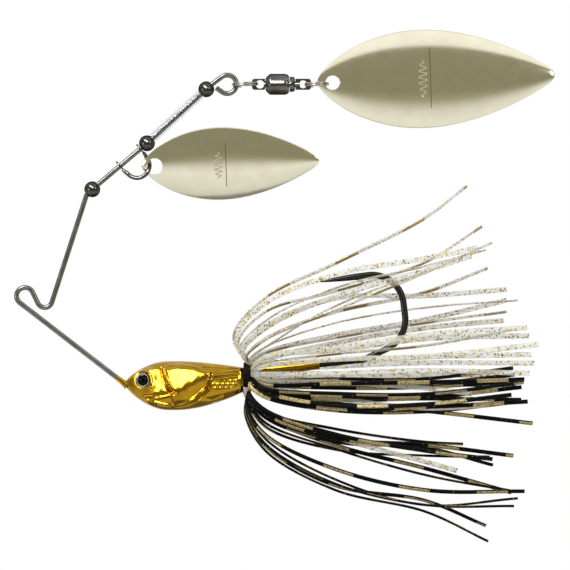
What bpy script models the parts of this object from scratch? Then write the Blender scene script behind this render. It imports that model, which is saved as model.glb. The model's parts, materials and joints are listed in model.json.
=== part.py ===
"""Spinnerbait: a safety-pin wire with a weighted, skirted hook on its lower leg and two
willow-leaf blades on its upper arm.

All sizes below are in millimetres and are scaled to metres as each mesh is made. The wire
form lies in the XZ plane, +X towards the blade tips, +Z up. The origin is the centre of the
line-tie bend.
"""
import math

import bmesh
import bpy
from mathutils import Matrix, Vector

MM = 0.001

# ---- driving dimensions ------------------------------------------------------------------
WIRE = 1.0                  # diameter of the stainless wire form
HOOK_WIRE = 1.3             # diameter of the hook
GAP = 0.1                   # clearance between pieces that touch in the real lure
BEAD = 3.2                  # diameter of a bead
BEAD_BORE = 1.4

LINE_TIE_RADIUS = 1.7       # centreline radius of the bend that takes the line
RETURN_BEND = Vector((3.95, 0.0, -0.8))
RETURN_BEND_RADIUS = 1.5
LOWER_LEG_ANGLE = math.radians(-38.2)
NOSE = Vector((19.9, 0.0, -17.5))
LEG_ANGLE = math.radians(72.1)
ARM_CORNER = Vector((12.4, 0.0, 20.45))
MIDDLE_BEAD = Vector((24.4, 0.0, 30.54))
UPPER_BEAD = Vector((36.26, 0.0, 41.34))
LOWER_BEAD_FROM_CORNER = 1.38
CHAIN_HEIGHT = 42.34        # height of the swivel's axis
EYE_CENTRE = Vector((40.45, 0.0, CHAIN_HEIGHT))
EYE_RADIUS = 1.85

SHANK_HEEL = Vector((67.8, 0.0, -12.7))
SHANK_SLOPE = 0.1034
HOOK_EYE_X = 29.4
HOOK_EYE_RADIUS = 1.45
HOOK_POINT = Vector((58.4, 0.0, 2.8))

HEAD_REAR = 43.6
HEAD_WIDTH_RATIO = 0.78     # width of the head over its height
NECK_CENTRE_Z = -15.75
NECK_RADIUS = 1.5
COLLAR_INNER = 1.98
COLLAR_OUTER = 2.5
KEEPER_END = 59.0

FISH_EYE = Vector((23.7, 0.0, -16.74))
FISH_EYE_RADIUS = 1.4
FISH_EYE_DEPTH = 2.05       # distance of the socket floor from the middle plane
FISH_EYE_TURN = math.radians(14.0)

BLADE_THICKNESS = 0.4
BLADE_DISH = 0.22           # depth of the dish over the blade's half width there
SMALL_BLADE_LENGTH = 35.4
SMALL_BLADE_WIDTH = 14.8
SMALL_BLADE_END = Vector((23.4, 0.0, 26.0))
SMALL_BLADE_TILT = math.radians(1.8)
SMALL_BLADE_ROLL = math.radians(15.0)
SMALL_BLADE_HOLE = Vector((25.95, 0.0, 25.9))
SMALL_BLADE_HOLE_RADIUS = 1.6
LARGE_BLADE_LENGTH = 47.4
LARGE_BLADE_WIDTH = 19.6
LARGE_BLADE_END = Vector((58.5, 0.0, 42.8))
LARGE_BLADE_TILT = math.radians(1.7)
LARGE_BLADE_ROLL = 0.0
LARGE_BLADE_HOLE = Vector((61.5, 0.0, 42.6))
LARGE_BLADE_HOLE_RADIUS = 1.43

RING_WIRE = 0.4
RING_PITCH = 0.52           # from one turn of a split ring to the next
FRONT_RING = Vector((44.0, 0.0, CHAIN_HEIGHT))
FRONT_RING_RADIUS = 2.55
FRONT_HOLE_X = 47.0
BARREL_FRONT = 48.1
BARREL_REAR = 52.8
BARREL_RADIUS = 2.1
REAR_HOLE_X = 55.6
SPLIT_RING = Vector((58.35, 0.0, CHAIN_HEIGHT))
SPLIT_RING_RADIUS = 2.35
BALL_COUNT = 6
BALL_RADIUS = 0.42
BALL_CIRCLE = 1.16
BALL_X = 51.62

SKIRT_STRANDS = 16
SKIRT_FLARE = 0.055         # share of a strand's length in which it turns outwards
SKIRT_RISE = 38.0           # from the collar's axis to the highest tip
SKIRT_FALL = 33.0
SKIRT_SPREAD = 13.0         # half of the skirt's width across the lure
SKIRT_TIP_X = 97.0

ARM = (MIDDLE_BEAD - ARM_CORNER).normalized()
SLEEVE_AXIS = (UPPER_BEAD - MIDDLE_BEAD).normalized()
ARM_SIDE = Vector((ARM.z, 0.0, -ARM.x))       # across the arm, towards the hook
CLEVIS_SPACING = 5.3        # between the ears of the clevis, along the arm
CLEVIS_BOW = 2.45           # centreline radius of the clevis's bow
CLEVIS_UPPER_EAR = MIDDLE_BEAD - ARM * 1.74
CLEVIS_MIDDLE = CLEVIS_UPPER_EAR - ARM * 0.5 * CLEVIS_SPACING
CLEVIS_BOW_CENTRE = CLEVIS_MIDDLE + ARM_SIDE * 2.2
BLADE_CROSSING = math.radians(-3.0)           # where on the bow the small blade hangs
SMALL_BLADE_PIVOT = CLEVIS_BOW_CENTRE + CLEVIS_BOW * Vector((
    math.cos(BLADE_CROSSING), 0.0, math.sin(BLADE_CROSSING),
))
Y_AXIS = Vector((0.0, 1.0, 0.0))

METALS = {
    "stainless": ((0.62, 0.61, 0.58), 0.28, 1.0),
    "gunmetal": ((0.16, 0.15, 0.15), 0.3, 1.0),
    "gold_plate": ((0.95, 0.62, 0.12), 0.18, 1.0),
    "champagne_plate": ((0.82, 0.76, 0.58), 0.16, 1.0),
    "nickel": ((0.7, 0.69, 0.66), 0.2, 1.0),
    "black_nickel": ((0.3, 0.29, 0.28), 0.12, 1.0),
    "eye_foil": ((0.85, 0.87, 0.9), 0.25, 1.0),
}
PLASTICS = {
    "clear_resin": ((0.9, 0.9, 0.9), 0.05),
    "clear_vinyl": ((0.8, 0.82, 0.82), 0.2),
    "black_rubber": ((0.03, 0.03, 0.03), 0.6),
    "clear_silicone": ((0.78, 0.76, 0.7), 0.35),
    "black_silicone": ((0.04, 0.04, 0.035), 0.4),
}


# ---- scene, materials and collections ----------------------------------------------------
def clear_scene():
    for obj in list(bpy.data.objects):
        bpy.data.objects.remove(obj, do_unlink=True)


def make_collection(name):
    collection = bpy.data.collections.new(name)
    bpy.context.scene.collection.children.link(collection)
    return collection


def make_material(name, colour, roughness, metallic):
    material = bpy.data.materials.new(name)
    material.use_nodes = True
    shader = material.node_tree.nodes["Principled BSDF"]
    shader.inputs["Base Color"].default_value = (*colour, 1.0)
    shader.inputs["Roughness"].default_value = roughness
    shader.inputs["Metallic"].default_value = metallic
    return material


clear_scene()
PARTS = make_collection("spinnerbait")
CUTTERS = make_collection("cutters")
MATERIALS = {}
for finish, (tint, rough, metal) in METALS.items():
    MATERIALS[finish] = make_material(finish, tint, rough, metal)
for finish, (tint, rough) in PLASTICS.items():
    MATERIALS[finish] = make_material(finish, tint, rough, 0.0)


# ---- making and cutting objects ----------------------------------------------------------
def add_object(name, data, finish=None):
    """Link new mesh or curve data as a part, or as a hidden cutter when finish is None."""
    obj = bpy.data.objects.new(name, data)
    if finish is None:
        CUTTERS.objects.link(obj)
        obj.hide_render = True
        obj.display_type = "WIRE"
    else:
        PARTS.objects.link(obj)
        data.materials.append(MATERIALS[finish])
    return obj


def add_bmesh(name, bm, finish=None, smooth_angle=35.0):
    """Turn a bmesh in millimetres into an object in metres."""
    bmesh.ops.scale(bm, vec=(MM, MM, MM), verts=bm.verts)
    bmesh.ops.recalc_face_normals(bm, faces=bm.faces)
    mesh = bpy.data.meshes.new(name)
    bm.to_mesh(mesh)
    bm.free()
    mesh.shade_smooth()
    mesh.set_sharp_from_angle(angle=math.radians(smooth_angle))
    return add_object(name, mesh, finish)


def add_tube(name, points, diameter, finish=None, radii=None, cyclic=False):
    """A round wire along a route of points, as a poly curve with filled caps."""
    curve = bpy.data.curves.new(name, "CURVE")
    curve.dimensions = "3D"
    curve.bevel_depth = 0.5 * diameter * MM
    curve.bevel_resolution = 2
    curve.use_fill_caps = not cyclic
    spline = curve.splines.new("POLY")
    spline.points.add(len(points) - 1)
    for index, point in enumerate(points):
        spline.points[index].co = (*(point * MM), 1.0)
        spline.points[index].radius = radii[index] if radii else 1.0
    spline.use_cyclic_u = cyclic
    return add_object(name, curve, finish)


def as_mesh(obj, finish=None):
    """Replace a curve object by the welded mesh of its surface."""
    evaluated = obj.evaluated_get(bpy.context.evaluated_depsgraph_get())
    mesh = bpy.data.meshes.new_from_object(evaluated)
    bm = bmesh.new()
    bm.from_mesh(mesh)
    bmesh.ops.remove_doubles(bm, verts=bm.verts, dist=1e-6)
    bm.to_mesh(mesh)
    bm.free()
    mesh.materials.clear()
    mesh.shade_smooth()
    mesh.set_sharp_from_angle(angle=math.radians(50.0))
    name = obj.name
    place = obj.matrix_world.copy()
    bpy.data.objects.remove(obj, do_unlink=True)
    solid = add_object(name, mesh, finish)
    solid.matrix_world = place
    return solid


def boolean(obj, operation, other):
    modifier = obj.modifiers.new(f"{operation.lower()}_{other.name}", "BOOLEAN")
    modifier.operation = operation
    modifier.object = other


def set_pivot(obj, point):
    """Move an object's origin to a point on its joint's axis, leaving its shape in place."""
    pivot = point * MM
    obj.data.transform(Matrix.Translation(-pivot))
    obj.location = pivot


def turn_to(axis):
    """The rotation that takes +Z to the given axis."""
    return Vector((0.0, 0.0, 1.0)).rotation_difference(axis).to_matrix().to_4x4()


def add_turned(name, profile, centre, axis, finish=None, steps=20, closed=False):
    """Turn a profile of (radius, height) pairs, listed from the top down, about an axis."""
    bm = bmesh.new()
    verts = [bm.verts.new((radius * MM, 0.0, height * MM)) for radius, height in profile]
    for first, second in zip(verts, verts[1:]):
        bm.edges.new((first, second))
    if closed:
        bm.edges.new((verts[-1], verts[0]))
    mesh = bpy.data.meshes.new(name)
    bm.to_mesh(mesh)
    bm.free()
    obj = add_object(name, mesh, finish)
    screw = obj.modifiers.new("turn", "SCREW")
    screw.axis = "Z"
    screw.steps = steps
    screw.render_steps = steps
    screw.use_merge_vertices = True
    screw.merge_threshold = 0.00001
    obj.matrix_world = Matrix.Translation(centre * MM) @ turn_to(axis)
    return obj


def add_rod(name, centre, axis, radius, depth, finish=None, segments=20, end_radius=None):
    """A cylinder, or a cone when end_radius is given, centred on a point."""
    bm = bmesh.new()
    bmesh.ops.create_cone(
        bm, cap_ends=True, segments=segments, radius1=radius,
        radius2=radius if end_radius is None else end_radius, depth=depth,
    )
    bm.transform(Matrix.Translation(centre) @ turn_to(axis))
    return add_bmesh(name, bm, finish)


# ---- routes ------------------------------------------------------------------------------
def arc(centre, radius, start, end, steps):
    """Points of an arc in the XZ plane; angles in degrees, from +X towards +Z."""
    points = []
    for index in range(steps + 1):
        angle = math.radians(start + (end - start) * index / steps)
        points.append(centre + radius * Vector((math.cos(angle), 0.0, math.sin(angle))))
    return points


def bent_route(corners, turn_step=14.0):
    """A wire bent at corners: each corner is a point and the centreline radius there."""
    route = [corners[0][0]]
    for (before, _), (corner, radius), (after, _) in zip(corners, corners[1:], corners[2:]):
        incoming = (corner - before).normalized()
        outgoing = (after - corner).normalized()
        turn = incoming.angle(outgoing)
        start = corner - incoming * radius * math.tan(turn / 2.0)
        normal = incoming.cross(outgoing).normalized()
        centre = start + normal.cross(incoming) * radius
        steps = max(2, round(math.degrees(turn) / turn_step))
        for index in range(steps + 1):
            spin = Matrix.Rotation(turn * index / steps, 3, normal)
            route.append(centre + spin @ (start - centre))
    route.append(corners[-1][0])
    return route


def shank_height(x):
    return SHANK_HEEL.z + (x - SHANK_HEEL.x) * SHANK_SLOPE


def wire_route():
    """From the buried end in the head, round the line tie, up the leg and round the eye."""
    leg_side = math.degrees(LOWER_LEG_ANGLE)
    tie_entry = arc(Vector(), LINE_TIE_RADIUS, leg_side - 90.0, leg_side - 90.0, 1)[0]
    route = bent_route(buried_corners() + [(tie_entry, 0.0)])[:-1]
    crossing = tangent_angle()
    route += arc(Vector(), LINE_TIE_RADIUS, leg_side - 90.0, crossing - 360.0 + 90.0, 16)
    route += arc(
        RETURN_BEND, RETURN_BEND_RADIUS, crossing - 90.0, math.degrees(LEG_ANGLE) - 90.0, 9,
    )
    route += bent_route([
        (route[-1], 0.0), (ARM_CORNER, 1.5), (MIDDLE_BEAD, 20.0), (UPPER_BEAD, 0.0),
    ])[1:]
    route += eye_route()
    return route


def buried_corners():
    """Corners of the wire inside the head, where its end hooks through the hook's eye."""
    eye_height = shank_height(HOOK_EYE_X)
    return [
        (Vector((30.2, 1.9, eye_height)), 0.0),
        (Vector((28.6, -1.2, eye_height)), 1.0),
        (Vector((25.6, -1.2, -17.9)), 1.2),
        (Vector((23.4, 0.0, -18.4)), 1.2),
        (NOSE, 4.0),
    ]


def tangent_angle():
    """Direction, in degrees, of the straight run between the line tie and the return bend."""
    spacing = RETURN_BEND.length
    centre_line = math.atan2(RETURN_BEND.z, RETURN_BEND.x)
    return math.degrees(
        centre_line - math.asin((LINE_TIE_RADIUS + RETURN_BEND_RADIUS) / spacing)
    )


def eye_route():
    """The teardrop eye at the end of the arm; the cut end stops short of the upper bead."""
    entry = UPPER_BEAD + SLEEVE_AXIS * 1.5
    reach = EYE_CENTRE - entry
    lean = math.degrees(math.asin(EYE_RADIUS / reach.length))
    heading = math.degrees(math.atan2(reach.z, reach.x))
    round_part = arc(EYE_CENTRE, EYE_RADIUS, heading + lean + 90.0, heading - lean - 90.0, 18)
    back = (round_part[-1] - round_part[-2]).normalized()
    return [entry] + round_part + [round_part[-1] + back * 1.3]


def shank_point(x):
    return Vector((x, 0.0, shank_height(x)))


def hook_eye_route():
    """The buried eye of the hook, from its cut end to the start of the shank."""
    lean = math.degrees(math.atan(SHANK_SLOPE))
    return arc(shank_point(HOOK_EYE_X), HOOK_EYE_RADIUS, lean + 60.0, lean + 325.0, 12)


def hook_route():
    """From the cut end of the buried eye, along the shank and round the bend to the point."""
    bend = bent_route([
        (shank_point(HOOK_EYE_X + 3.0), 0.0),
        (SHANK_HEEL, 4.0),
        (Vector((76.6, 0.0, -8.6)), 6.5),
        (Vector((74.9, 0.0, 5.02)), 6.3),
        (HOOK_POINT, 0.0),
    ], turn_step=9.0)
    return hook_eye_route() + bend


# ---- the wire, the hook and the head -----------------------------------------------------
def build_wire():
    add_tube("wire_form", wire_route(), WIRE, "stainless")


def build_hook():
    route = hook_route()
    radii = [1.0] * (len(route) - 1) + [0.12]
    hook = as_mesh(add_tube("hook", route, HOOK_WIRE, "gunmetal", radii=radii), "gunmetal")
    spear = (route[-1] - route[-2]).normalized()
    root = HOOK_POINT - spear * 7.2
    barb_axis = (Matrix.Rotation(math.radians(16.0), 3, Y_AXIS) @ spear) * -1.0
    barb = add_rod(
        "barb_shape", root + Vector((0.0, 0.0, -0.25)), barb_axis, 0.45, 3.2,
        segments=10, end_radius=0.08,
    )
    boolean(hook, "UNION", barb)


def head_section(x):
    """Top and bottom of the head at a station: a fish's head, blunt at the gill plate."""
    share = (x - NOSE.x) / (HEAD_REAR - NOSE.x)
    rise = math.sin(min(1.0, share / 0.38) * math.pi / 2.0)
    back = max(0.0, (share - 0.45) / 0.55)
    top = -17.6 + 4.6 * rise ** 0.68 - 1.3 * back ** 1.6
    bottom = -17.6 - 5.25 * rise ** 0.74 + 3.6 * back ** 1.7
    return top, bottom


def build_head():
    """A sphere's rings drawn out into elliptical sections, flat at the rear."""
    bm = bmesh.new()
    bmesh.ops.create_uvsphere(bm, u_segments=22, v_segments=20, radius=1.0)
    for vert in bm.verts:
        polar = math.acos(max(-1.0, min(1.0, vert.co.z))) / math.pi
        around = math.atan2(vert.co.y, vert.co.x)
        share = min(1.0, polar / 0.9)
        x = NOSE.x + (HEAD_REAR - NOSE.x) * (1.0 - math.cos(share * math.pi * 0.5)) ** 0.95
        top, bottom = head_section(x)
        middle = 0.5 * (top + bottom)
        half = 0.5 * (top - bottom)
        if polar > 0.9:
            half *= (1.0 - polar) / 0.1
        vert.co = Vector((
            x, half * HEAD_WIDTH_RATIO * math.sin(around), middle + half * math.cos(around),
        ))
    head = add_bmesh("head_casting", bm, "gold_plate", smooth_angle=50.0)

    neck = Vector((HEAD_REAR + 0.9, 0.0, NECK_CENTRE_Z))
    boolean(head, "UNION", add_rod("neck_shape", neck, Vector((1, 0, 0)), NECK_RADIUS, 4.0))
    shank = Vector((1.0, 0.0, SHANK_SLOPE)).normalized()
    keeper_start = HEAD_REAR + 2.75
    middle_x = 0.5 * (keeper_start + KEEPER_END)
    keeper = add_rod(
        "keeper_shape", shank_point(middle_x), shank, 1.45,
        KEEPER_END - keeper_start, end_radius=1.0,
    )
    boolean(head, "UNION", keeper)
    barb = add_rod(
        "keeper_barb_shape", shank_point(53.4) + Vector((0.0, 0.0, 0.75)),
        (Matrix.Rotation(math.radians(14.0), 3, Y_AXIS) @ shank), 0.35, 4.6,
        segments=12, end_radius=0.95,
    )
    boolean(head, "UNION", barb)

    wire_bore = bent_route(buried_corners() + [(0.7 * NOSE, 0.0)])
    boolean(head, "DIFFERENCE", as_mesh(add_tube(
        "wire_bore_shape", wire_bore, WIRE + 3.0 * GAP,
    )))
    hook_bore = hook_eye_route() + [shank_point(HOOK_EYE_X + 3.0), shank_point(KEEPER_END + 2.0)]
    boolean(head, "DIFFERENCE", as_mesh(add_tube(
        "hook_bore_shape", hook_bore, HOOK_WIRE + 2.0 * GAP,
    )))
    for side, name in ((-1.0, "left"), (1.0, "right")):
        normal = eye_normal(side)
        floor = FISH_EYE + Y_AXIS * side * FISH_EYE_DEPTH
        socket = add_rod(
            f"{name}_eye_socket_shape", floor + normal * 2.0, normal,
            FISH_EYE_RADIUS + GAP, 4.0,
        )
        boolean(head, "DIFFERENCE", socket)


def eye_normal(side):
    """Outward direction of a fish eye: mostly sideways, turned a little to the nose."""
    return Vector((-math.sin(FISH_EYE_TURN), side * math.cos(FISH_EYE_TURN), 0.0))


def build_fish_eyes():
    foil_depth = 0.25
    lens_profile = [(0.0, 0.62)]
    for index in range(1, 6):
        angle = math.radians(15.0 * index)
        lens_profile.append((
            (FISH_EYE_RADIUS - 0.05) * math.sin(angle), 0.1 + 0.52 * math.cos(angle),
        ))
    lens_profile += [(FISH_EYE_RADIUS - 0.05, 0.1), (FISH_EYE_RADIUS - 0.05, 0.0), (0.0, 0.0)]
    for side, name in ((-1.0, "left"), (1.0, "right")):
        normal = eye_normal(side)
        floor = FISH_EYE + Y_AXIS * side * FISH_EYE_DEPTH
        add_rod(
            f"{name}_eye_foil", floor + normal * (GAP + 0.5 * foil_depth), normal,
            FISH_EYE_RADIUS - 0.05, foil_depth, "eye_foil",
        )
        lens_base = floor + normal * (2.0 * GAP + foil_depth)
        add_turned(f"{name}_eye_lens", lens_profile, lens_base, normal, "clear_resin")


# ---- beads, sleeve and clevis ------------------------------------------------------------
def add_bead(name, centre, axis):
    radius = 0.5 * BEAD
    bore = 0.5 * BEAD_BORE
    edge = math.acos(bore / radius)
    profile = []
    for index in range(9):
        angle = edge - 2.0 * edge * index / 8
        profile.append((radius * math.cos(angle), radius * math.sin(angle)))
    bead = add_turned(name, profile, centre, axis, "black_nickel", steps=18, closed=True)
    return bead


def build_beads_and_sleeve():
    add_bead("lower_bead", ARM_CORNER + ARM * LOWER_BEAD_FROM_CORNER, ARM)
    add_bead("middle_bead", MIDDLE_BEAD, ARM)
    add_bead("upper_bead", UPPER_BEAD, SLEEVE_AXIS)
    bead_face = math.sqrt((0.5 * BEAD) ** 2 - (0.5 * BEAD_BORE) ** 2)
    length = (UPPER_BEAD - MIDDLE_BEAD).length - 2.0 * bead_face - 2.5 * GAP
    outer, inner = 1.0, 0.68
    profile = [(outer, 0.5 * length), (outer, -0.5 * length),
               (inner, -0.5 * length), (inner, 0.5 * length)]
    centre = 0.5 * (MIDDLE_BEAD + UPPER_BEAD)
    add_turned("clear_sleeve", profile, centre, SLEEVE_AXIS, "clear_vinyl",
               steps=18, closed=True)


def build_clevis():
    """Two flat ears on the arm and a stirrup that threads through the small blade's hole."""
    lower_ear = CLEVIS_UPPER_EAR - ARM * CLEVIS_SPACING
    weave = 0.98
    arm_angle = math.atan2(ARM.z, ARM.x)
    points = []
    steps = 26
    for index in range(steps + 1):
        angle = arm_angle - math.pi * index / steps
        along_bow = (angle - BLADE_CROSSING) * CLEVIS_BOW
        sideways = weave * math.tanh(along_bow / 0.62)
        out = Vector((math.cos(angle), 0.0, math.sin(angle)))
        points.append(CLEVIS_BOW_CENTRE + out * CLEVIS_BOW + Y_AXIS * sideways)
    upper_root = CLEVIS_UPPER_EAR + ARM_SIDE * 0.72 + Y_AXIS * 0.62
    lower_root = lower_ear + ARM_SIDE * 0.72 - Y_AXIS * 0.62
    points = [upper_root] + points + [lower_root]
    clevis = as_mesh(add_tube("clevis", points, 0.85, "nickel"), "nickel")
    for index, end in enumerate((CLEVIS_UPPER_EAR, lower_ear)):
        ear = add_rod(f"ear_shape_{index + 1}", end, ARM, 1.2, 0.34)
        boolean(clevis, "UNION", ear)
    boolean(clevis, "DIFFERENCE", add_rod("arm_bore_shape", CLEVIS_MIDDLE, ARM, 0.64, 9.0))
    set_pivot(clevis, CLEVIS_MIDDLE)


# ---- blades ------------------------------------------------------------------------------
def willow_half_width(share):
    """Half of a willow blade's width over its greatest half width, at a share of its length."""
    return math.sin(math.pi * min(1.0, max(0.0, share)) ** 0.833) ** 0.78


def add_blade(name, end, tilt, roll, length, width, hole, hole_radius, pivot):
    """A grid drawn out into a willow leaf, dished towards -Y, thickened, and drilled."""
    bm = bmesh.new()
    bmesh.ops.create_grid(bm, x_segments=22, y_segments=8, size=1.0)
    for vert in bm.verts:
        share = 0.5 * (1.0 - math.cos(0.5 * math.pi * (vert.co.x + 1.0)))
        half = 0.5 * width * willow_half_width(share)
        across = math.sin(0.5 * math.pi * vert.co.y)
        bulge = BLADE_DISH * half * (1.0 - across ** 2)
        vert.co = Vector((share * length, -bulge, half * across))
    bmesh.ops.remove_doubles(bm, verts=bm.verts, dist=1e-4)
    bmesh.ops.dissolve_degenerate(bm, edges=bm.edges, dist=1e-4)
    turn = Matrix.Rotation(-tilt, 4, "Y") @ Matrix.Rotation(roll, 4, "X")
    bm.transform(Matrix.Translation(end) @ turn)
    blade = add_bmesh(name, bm, "champagne_plate")
    shell = blade.modifiers.new("thickness", "SOLIDIFY")
    shell.thickness = BLADE_THICKNESS * MM
    shell.offset = 0.0
    drill = add_rod(f"{name}_hole_shape", hole, Y_AXIS, hole_radius, 8.0, segments=24)
    boolean(blade, "DIFFERENCE", drill)
    set_pivot(blade, pivot)


def build_blades():
    add_blade(
        "small_blade", SMALL_BLADE_END, SMALL_BLADE_TILT, SMALL_BLADE_ROLL,
        SMALL_BLADE_LENGTH, SMALL_BLADE_WIDTH, SMALL_BLADE_HOLE, SMALL_BLADE_HOLE_RADIUS,
        SMALL_BLADE_PIVOT,
    )
    add_blade(
        "large_blade", LARGE_BLADE_END, LARGE_BLADE_TILT, LARGE_BLADE_ROLL,
        LARGE_BLADE_LENGTH, LARGE_BLADE_WIDTH, LARGE_BLADE_HOLE, LARGE_BLADE_HOLE_RADIUS,
        SPLIT_RING,
    )


# ---- rings and the ball-bearing swivel ---------------------------------------------------
def add_split_ring(name, centre, radius):
    """A flat coil of nearly two turns, lying across the lure; it swings at its front."""
    turns = 1.9
    steps = 46
    helix = []
    for index in range(steps + 1):
        turn = turns * (index / steps - 0.5)
        angle = 2.0 * math.pi * turn + 0.5 * math.pi
        helix.append(centre + Vector((
            radius * math.cos(angle), radius * math.sin(angle), RING_PITCH * turn,
        )))
    ring = add_tube(name, helix, RING_WIRE, "nickel")
    set_pivot(ring, centre - Vector((radius, 0.0, 0.0)))


def build_rings():
    add_split_ring("front_ring", FRONT_RING, FRONT_RING_RADIUS)
    add_split_ring("rear_split_ring", SPLIT_RING, SPLIT_RING_RADIUS)


def add_chain_turned(name, profile, pivot, steps=20, closed=False):
    """Turn a profile of (radius, X) pairs about the chain's axis, with its origin at a pivot."""
    heights = [(radius, x - pivot.x) for radius, x in profile]
    return add_turned(name, heights, pivot, Vector((1, 0, 0)), "nickel", steps, closed)


def add_tab(stem, hole_x, hole_radius, root_x):
    """Join a flat tab to a stem: a plate that runs from root_x past a hole for a ring."""
    thickness = 0.55
    tip_x = hole_x + math.copysign(1.6, hole_x - root_x)
    bar = bmesh.new()
    bmesh.ops.create_cube(bar, size=1.0)
    bmesh.ops.scale(bar, vec=(abs(root_x - tip_x), thickness, 2.2), verts=bar.verts)
    bmesh.ops.translate(bar, vec=(0.5 * (root_x + tip_x), 0.0, CHAIN_HEIGHT), verts=bar.verts)
    ends = [edge for edge in bar.edges
            if abs(edge.verts[0].co.y - edge.verts[1].co.y) > 0.1
            and abs(edge.verts[0].co.x - tip_x) < 0.1]
    bmesh.ops.bevel(bar, geom=ends, offset=0.5, segments=3, profile=0.5, affect="EDGES")
    boolean(stem, "UNION", add_bmesh(f"{stem.name}_bar_shape", bar))
    hole = Vector((hole_x, 0.0, CHAIN_HEIGHT))
    drill = add_rod(f"{stem.name}_hole_shape", hole, Y_AXIS, hole_radius, 4.0)
    boolean(stem, "DIFFERENCE", drill)


def build_swivel():
    """The barrel turns on nothing but the ring; the rear stem turns on balls inside it."""
    shell = [
        (1.75, BARREL_REAR), (2.02, 52.3), (BARREL_RADIUS, 51.8), (BARREL_RADIUS, 49.0),
        (1.25, BARREL_FRONT), (0.78, BARREL_FRONT), (0.78, 48.9), (1.7, 48.9),
        (1.7, 52.1), (0.8, 52.1), (0.8, BARREL_REAR),
    ]
    add_chain_turned("swivel_barrel", shell, FRONT_RING, steps=24, closed=True)
    front_pin = [(0.0, 49.5), (1.3, 49.5), (1.3, 49.0), (0.66, 49.0), (0.66, 47.75), (0.0, 47.75)]
    front_stem = add_chain_turned("front_eye_stem", front_pin, FRONT_RING)
    add_tab(front_stem, FRONT_HOLE_X, 0.85, BARREL_FRONT - 0.15)
    rear_pin = [(0.0, 55.0), (0.62, 55.0), (0.62, 51.08), (1.55, 51.08), (1.55, 50.6), (0.0, 50.6)]
    rear_pivot = Vector((BALL_X, 0.0, CHAIN_HEIGHT))
    rear_stem = add_chain_turned("rear_eye_stem", rear_pin, rear_pivot)
    add_tab(rear_stem, REAR_HOLE_X, 0.8, BARREL_REAR + 1.35)
    bush = [(1.2, 54.0), (1.5, 53.7), (1.5, 52.9), (0.74, 52.9), (0.74, 54.0)]
    add_chain_turned("swivel_end_bush", bush, rear_pivot, closed=True)
    for index in range(BALL_COUNT):
        angle = 2.0 * math.pi * index / BALL_COUNT
        centre = Vector((BALL_X, BALL_CIRCLE * math.cos(angle),
                         CHAIN_HEIGHT + BALL_CIRCLE * math.sin(angle)))
        bm = bmesh.new()
        bmesh.ops.create_uvsphere(bm, u_segments=10, v_segments=6, radius=BALL_RADIUS)
        bmesh.ops.translate(bm, vec=centre, verts=bm.verts)
        add_bmesh(f"bearing_ball_{index + 1}", bm, "nickel", smooth_angle=180.0)


# ---- skirt -------------------------------------------------------------------------------
def build_collar():
    half = 0.65
    profile = [(COLLAR_OUTER - 0.2, half), (COLLAR_OUTER, half - 0.2), (COLLAR_OUTER, 0.2 - half),
               (COLLAR_OUTER - 0.2, -half), (COLLAR_INNER, -half), (COLLAR_INNER, half)]
    centre = Vector((HEAD_REAR + 0.8, 0.0, NECK_CENTRE_Z))
    add_turned("skirt_collar", profile, centre, Vector((1, 0, 0)), "black_rubber", closed=True)


def strand_route(turn):
    """A bundle of strands: under the collar, flaring outwards, then sweeping to the rear."""
    up = math.cos(turn)
    across = math.sin(turn)
    rise = (SKIRT_RISE if up > 0.0 else SKIRT_FALL) * up
    root_radius = 0.5 * (NECK_RADIUS + COLLAR_INNER)
    root = Vector((HEAD_REAR + 0.35, root_radius * across, NECK_CENTRE_Z + root_radius * up))
    points = [root, root + Vector((1.4, 0.0, 0.0))]
    tip_x = SKIRT_TIP_X - 9.0 * abs(up) ** 3
    for index in range(1, 13):
        along = (index / 12.0) ** 1.5
        flare = 1.0 - math.exp(-along / SKIRT_FLARE)
        points.append(Vector((
            root.x + 1.5 + (tip_x - root.x - 1.5) * along,
            root_radius * across + SKIRT_SPREAD * across * (0.62 * flare + 0.38 * along),
            root.z + rise * (0.42 * flare + 0.58 * along ** 1.5),
        )))
    return points


def build_skirt():
    radii = [0.3, 0.3, 0.6, 0.8] + [1.0] * 8 + [0.9, 0.5]
    counts = {"clear": 0, "black": 0}
    for index in range(SKIRT_STRANDS):
        turn = 2.0 * math.pi * (index + 0.5) / SKIRT_STRANDS
        colour = "clear" if math.cos(turn) > 0.0 else "black"
        counts[colour] += 1
        name = f"skirt_{colour}_{counts[colour]:02d}"
        add_tube(name, strand_route(turn), 1.4, f"{colour}_silicone", radii=radii)


build_wire()
build_hook()
build_head()
build_fish_eyes()
build_beads_and_sleeve()
build_clevis()
build_blades()
build_rings()
build_swivel()
build_collar()
build_skirt()
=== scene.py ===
"""Looks of the spinnerbait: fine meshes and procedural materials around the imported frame.

Lengths in the tables below are millimetres; each mesh is scaled to metres as it is made.
"""

import json
import math
import random

import bmesh
import bpy
import numpy as np
from mathutils import Matrix, Vector

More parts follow.
